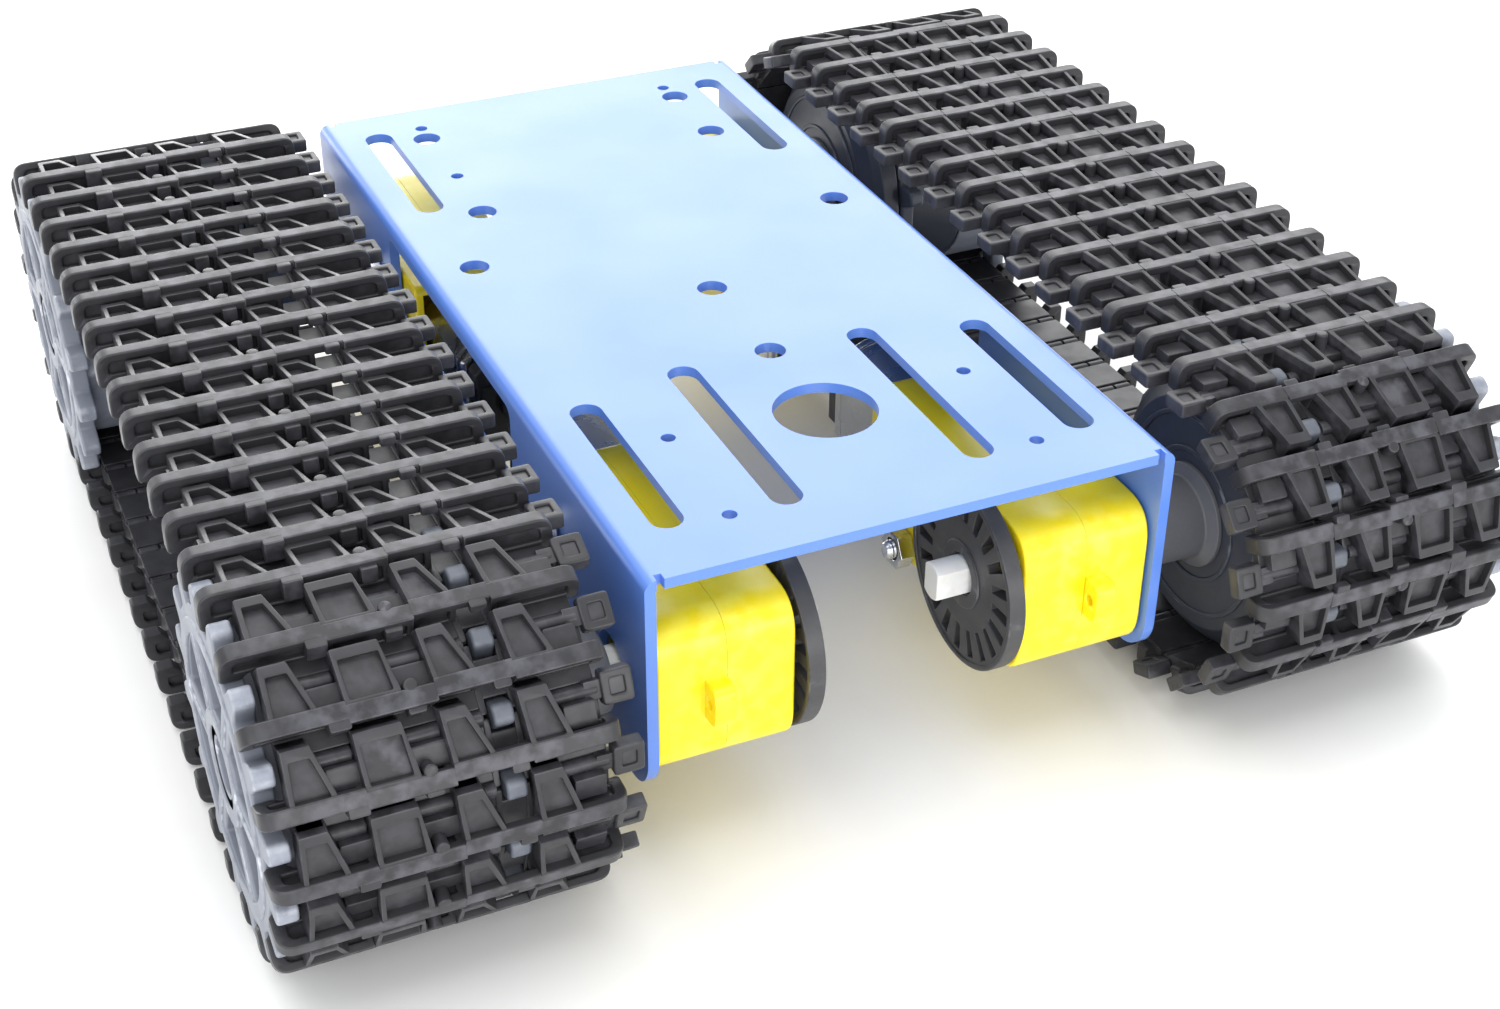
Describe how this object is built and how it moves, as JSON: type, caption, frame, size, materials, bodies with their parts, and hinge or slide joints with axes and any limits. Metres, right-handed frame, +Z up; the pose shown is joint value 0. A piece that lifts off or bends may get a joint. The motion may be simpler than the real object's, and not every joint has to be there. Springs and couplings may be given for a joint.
{
  "type": "tracked robot car chassis",
  "caption": "Folded sheet-metal robot chassis driven by gear motors through toothed wheels inside wide link tracks, with a slotted deck for electronics.",
  "frame": {"origin": "centre of the overall bounding box on the ground, Z = 0 under the tracks", "axes": "+Z up, the open motor end that shows the encoder discs faces -Y, the axles lie along X"},
  "size_m": [0.1736, 0.1706, 0.051],
  "materials": {
    "sheet": "satin",
    "housing": "satin",
    "can": "satin",
    "cap": "matte",
    "shaft": "satin",
    "disc": "satin",
    "wheel": "satin",
    "track": "matte",
    "steel": "satin"
  },
  "bodies": {
    "frame": {"chassis_frame": "sheet", "left_track": "track", "right_track": "track", "front_right_gearbox_inner_shell": "housing", "front_right_gearbox_outer_shell": "housing", "front_right_motor_can": "can", "front_right_motor_end_cap": "cap", "front_right_motor_screw_lower": "steel", "front_right_motor_nut_lower": "steel", "front_right_motor_screw_upper": "steel", "front_right_motor_nut_upper": "steel", "rear_right_gearbox_inner_shell": "housing", "rear_right_gearbox_outer_shell": "housing", "rear_right_motor_can": "can", "rear_right_motor_end_cap": "cap", "rear_right_motor_screw_lower": "steel", "rear_right_motor_nut_lower": "steel", "rear_right_motor_screw_upper": "steel", "rear_right_motor_nut_upper": "steel", "front_left_gearbox_inner_shell": "housing", "front_left_gearbox_outer_shell": "housing", "front_left_motor_can": "can", "front_left_motor_end_cap": "cap", "front_left_motor_screw_lower": "steel", "front_left_motor_nut_lower": "steel", "front_left_motor_screw_upper": "steel", "front_left_motor_nut_upper": "steel", "rear_left_gearbox_inner_shell": "housing", "rear_left_gearbox_outer_shell": "housing", "rear_left_motor_can": "can", "rear_left_motor_end_cap": "cap", "rear_left_motor_screw_lower": "steel", "rear_left_motor_nut_lower": "steel", "rear_left_motor_screw_upper": "steel", "rear_left_motor_nut_upper": "steel"},
    "front_right_wheel": {"front_right_wheel_inner_half": "wheel", "front_right_wheel_outer_half": "wheel", "front_right_wheel_screw": "steel", "front_right_output_shaft": "shaft", "front_right_encoder_disc": "disc"},
    "rear_right_wheel": {"rear_right_wheel_inner_half": "wheel", "rear_right_wheel_outer_half": "wheel", "rear_right_wheel_screw": "steel", "rear_right_output_shaft": "shaft"},
    "front_left_wheel": {"front_left_wheel_inner_half": "wheel", "front_left_wheel_outer_half": "wheel", "front_left_wheel_screw": "steel", "front_left_output_shaft": "shaft", "front_left_encoder_disc": "disc"},
    "rear_left_wheel": {"rear_left_wheel_inner_half": "wheel", "rear_left_wheel_outer_half": "wheel", "rear_left_wheel_screw": "steel", "rear_left_output_shaft": "shaft"}
  },
  "joints": [
    {"name": "front_right_wheel_spin", "type": "hinge", "parent": "frame", "child": "front_right_wheel", "pos_m": [0.064, -0.05985, 0.02549], "axis": [1, 0, 0], "continuous": true},
    {"name": "rear_right_wheel_spin", "type": "hinge", "parent": "frame", "child": "rear_right_wheel", "pos_m": [0.064, 0.05985, 0.02549], "axis": [1, 0, 0], "continuous": true},
    {"name": "front_left_wheel_spin", "type": "hinge", "parent": "frame", "child": "front_left_wheel", "pos_m": [-0.064, -0.05985, 0.02549], "axis": [1, 0, 0], "continuous": true},
    {"name": "rear_left_wheel_spin", "type": "hinge", "parent": "frame", "child": "rear_left_wheel", "pos_m": [-0.064, 0.05985, 0.02549], "axis": [1, 0, 0], "continuous": true}
  ],
  "couplings": [
    {"joint": "rear_right_wheel_spin", "follows": "front_right_wheel_spin", "ratio": 1},
    {"joint": "rear_left_wheel_spin", "follows": "front_left_wheel_spin", "ratio": 1}
  ]
}
